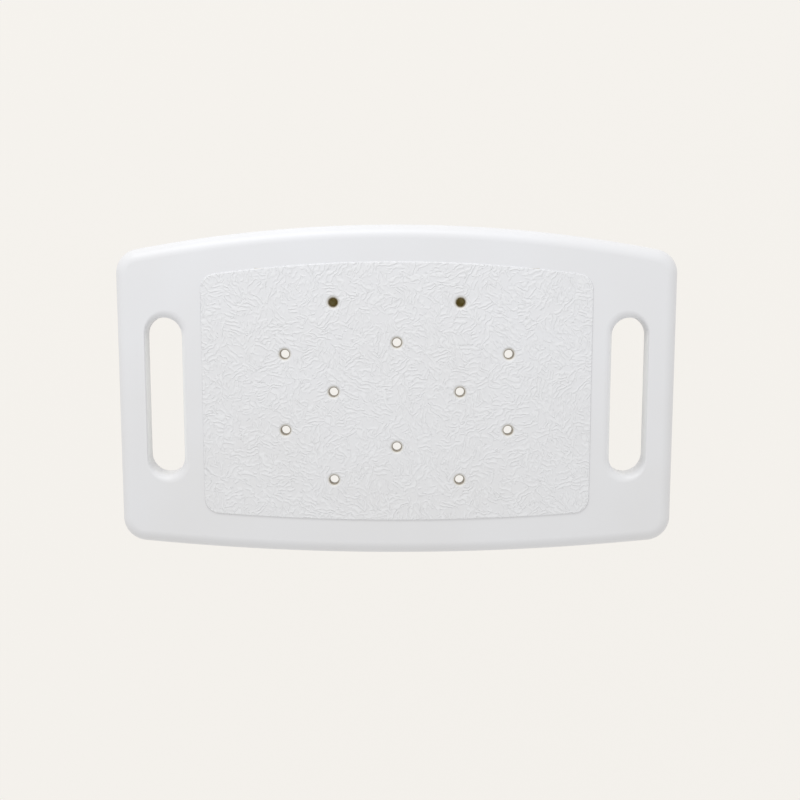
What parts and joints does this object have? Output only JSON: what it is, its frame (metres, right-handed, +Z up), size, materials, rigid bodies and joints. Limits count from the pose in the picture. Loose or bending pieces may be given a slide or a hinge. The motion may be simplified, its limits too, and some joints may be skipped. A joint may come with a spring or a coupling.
{
  "type": "folding shower bench",
  "caption": "Backless bath bench: moulded seat board with hand slots and drain holes on leg frames that fold flat below it, with sliding legs set by snap buttons.",
  "frame": {"origin": "on the floor under the middle of the seat, with the bench open and its legs at their shortest", "axes": "+X along the seat towards the narrow leg frame, +Y towards the seat's more bowed back edge, +Z up"},
  "size_m": [0.5, 0.298, 0.395],
  "materials": {
    "white_polyethylene": "satin white moulded polyethylene with a crinkle-grained sitting field",
    "black_nylon": "black moulded nylon",
    "grey_nylon": "light grey moulded nylon",
    "anodised_aluminium": "satin anodised tube",
    "grey_rubber": "matte dark grey rubber",
    "stainless_steel": "plain stainless steel"
  },
  "bodies": {
    "seat": {"seat_board": "white_polyethylene", "left_front_hinge_bracket": "grey_nylon", "left_front_hinge_cap": "grey_nylon", "left_front_inner_screw": "stainless_steel", "left_front_outer_screw": "stainless_steel", "left_back_hinge_bracket": "grey_nylon", "left_back_hinge_cap": "grey_nylon", "left_back_inner_screw": "stainless_steel", "left_back_outer_screw": "stainless_steel", "left_storage_clip": "black_nylon", "left_clip_screw": "stainless_steel", "right_front_hinge_bracket": "grey_nylon", "right_front_hinge_cap": "grey_nylon", "right_front_inner_screw": "stainless_steel", "right_front_outer_screw": "stainless_steel", "right_back_hinge_bracket": "grey_nylon", "right_back_hinge_cap": "grey_nylon", "right_back_inner_screw": "stainless_steel", "right_back_outer_screw": "stainless_steel", "right_storage_clip": "black_nylon", "right_clip_screw": "stainless_steel"},
    "left_frame": {"left_leg_frame": "anodised_aluminium", "left_stretcher": "anodised_aluminium", "left_front_collar": "grey_nylon", "left_back_collar": "grey_nylon"},
    "right_frame": {"right_leg_frame": "anodised_aluminium", "right_stretcher": "anodised_aluminium", "right_front_collar": "grey_nylon", "right_back_collar": "grey_nylon"},
    "left_front_leg": {"left_front_lower_leg": "anodised_aluminium", "left_front_glide_plug": "grey_nylon", "left_front_foot": "grey_rubber", "left_front_foot_washer": "stainless_steel", "left_front_button_spring": "stainless_steel"},
    "left_front_button": {"left_front_snap_button": "stainless_steel"},
    "left_back_leg": {"left_back_lower_leg": "anodised_aluminium", "left_back_glide_plug": "grey_nylon", "left_back_foot": "grey_rubber", "left_back_foot_washer": "stainless_steel", "left_back_button_spring": "stainless_steel"},
    "left_back_button": {"left_back_snap_button": "stainless_steel"},
    "right_front_leg": {"right_front_lower_leg": "anodised_aluminium", "right_front_glide_plug": "grey_nylon", "right_front_foot": "grey_rubber", "right_front_foot_washer": "stainless_steel", "right_front_button_spring": "stainless_steel"},
    "right_front_button": {"right_front_snap_button": "stainless_steel"},
    "right_back_leg": {"right_back_lower_leg": "anodised_aluminium", "right_back_glide_plug": "grey_nylon", "right_back_foot": "grey_rubber", "right_back_foot_washer": "stainless_steel", "right_back_button_spring": "stainless_steel"},
    "right_back_button": {"right_back_snap_button": "stainless_steel"}
  },
  "joints": [
    {"name": "left_leg_fold", "type": "hinge", "parent": "seat", "child": "left_frame", "pos_m": [-0.1655, 0, 0.346], "axis": [0, -1, 0], "range_deg": [0, 99]},
    {"name": "right_leg_fold", "type": "hinge", "parent": "seat", "child": "right_frame", "pos_m": [0.1655, 0, 0.306], "axis": [0, 1, 0], "range_deg": [0, 99]},
    {"name": "left_front_leg_height", "type": "slide", "parent": "left_frame", "child": "left_front_leg", "axis": [-0.1564, 0, -0.9877], "range_m": [0, 0.12]},
    {"name": "left_front_button_press", "type": "slide", "parent": "left_front_leg", "child": "left_front_button", "axis": [0, 1, 0], "range_m": [0, 0.006], "stiffness_N_per_m": 1500, "springref_m": -0.003, "deforming": ["left_front_button_spring"]},
    {"name": "left_back_leg_height", "type": "slide", "parent": "left_frame", "child": "left_back_leg", "axis": [-0.1564, 0, -0.9877], "range_m": [0, 0.12]},
    {"name": "left_back_button_press", "type": "slide", "parent": "left_back_leg", "child": "left_back_button", "axis": [0, -1, 0], "range_m": [0, 0.006], "stiffness_N_per_m": 1500, "springref_m": -0.003, "deforming": ["left_back_button_spring"]},
    {"name": "right_front_leg_height", "type": "slide", "parent": "right_frame", "child": "right_front_leg", "axis": [0.1564, 0, -0.9877], "range_m": [0, 0.12]},
    {"name": "right_front_button_press", "type": "slide", "parent": "right_front_leg", "child": "right_front_button", "axis": [0, 1, 0], "range_m": [0, 0.006], "stiffness_N_per_m": 1500, "springref_m": -0.003, "deforming": ["right_front_button_spring"]},
    {"name": "right_back_leg_height", "type": "slide", "parent": "right_frame", "child": "right_back_leg", "axis": [0.1564, 0, -0.9877], "range_m": [0, 0.12]},
    {"name": "right_back_button_press", "type": "slide", "parent": "right_back_leg", "child": "right_back_button", "axis": [0, -1, 0], "range_m": [0, 0.006], "stiffness_N_per_m": 1500, "springref_m": -0.003, "deforming": ["right_back_button_spring"]}
  ]
}
